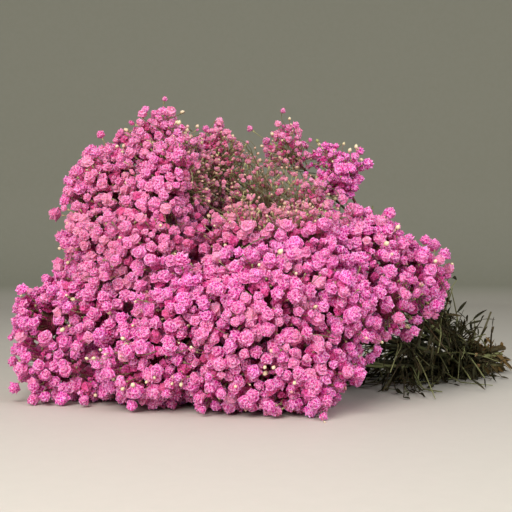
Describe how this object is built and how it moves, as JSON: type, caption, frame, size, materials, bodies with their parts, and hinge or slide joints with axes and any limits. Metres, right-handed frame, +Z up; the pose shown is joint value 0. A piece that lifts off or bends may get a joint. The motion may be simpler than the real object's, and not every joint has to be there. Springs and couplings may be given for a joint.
{
  "type": "gypsophila bunch",
  "caption": "Cut bunch of double-flowered gypsophila, dyed pink, held by an elastic band round its stems and lying on its side.",
  "frame": {"origin": "on the surface the bunch lies on, under the middle of its overall box", "axes": "+X along the bunch towards its cut ends, +Z up from the surface it lies on"},
  "size_m": [0.68, 0.4176, 0.3464],
  "materials": {
    "petals": "matte",
    "stems": "satin",
    "band": "satin"
  },
  "bodies": {
    "root": {"spray_01_blooms_a": "petals", "spray_01_blooms_b": "petals", "spray_01_stem": "stems", "spray_02_blooms_a": "petals", "spray_02_blooms_b": "petals", "spray_02_stem": "stems", "spray_03_blooms_a": "petals", "spray_03_blooms_b": "petals", "spray_03_stem": "stems", "spray_04_blooms_a": "petals", "spray_04_stem": "stems", "spray_05_blooms_a": "petals", "spray_05_stem": "stems", "spray_06_blooms_a": "petals", "spray_06_blooms_b": "petals", "spray_06_stem": "stems", "spray_07_blooms_a": "petals", "spray_07_blooms_b": "petals", "spray_07_blooms_c": "petals", "spray_07_stem": "stems", "spray_08_blooms_a": "petals", "spray_08_blooms_b": "petals", "spray_08_stem": "stems", "spray_09_blooms_a": "petals", "spray_09_blooms_b": "petals", "spray_09_blooms_c": "petals", "spray_09_stem": "stems", "spray_10_blooms_a": "petals", "spray_10_blooms_b": "petals", "spray_10_stem": "stems", "spray_11_blooms_a": "petals", "spray_11_blooms_b": "petals", "spray_11_stem": "stems", "spray_12_blooms_a": "petals", "spray_12_stem": "stems", "spray_13_blooms_a": "petals", "spray_13_blooms_b": "petals", "spray_13_stem": "stems", "spray_14_blooms_a": "petals", "spray_14_blooms_b": "petals", "spray_14_stem": "stems", "spray_15_blooms_a": "petals", "spray_15_blooms_b": "petals", "spray_15_stem": "stems", "spray_16_blooms_a": "petals", "spray_16_blooms_b": "petals", "spray_16_blooms_c": "petals", "spray_16_stem": "stems", "spray_17_blooms_a": "petals", "spray_17_stem": "stems", "spray_18_blooms_a": "petals", "spray_18_blooms_b": "petals", "spray_18_blooms_c": "petals", "spray_18_stem": "stems", "spray_19_blooms_a": "petals", "spray_19_blooms_b": "petals", "spray_19_stem": "stems", "tie_band": "band"}
  },
  "joints": []
}
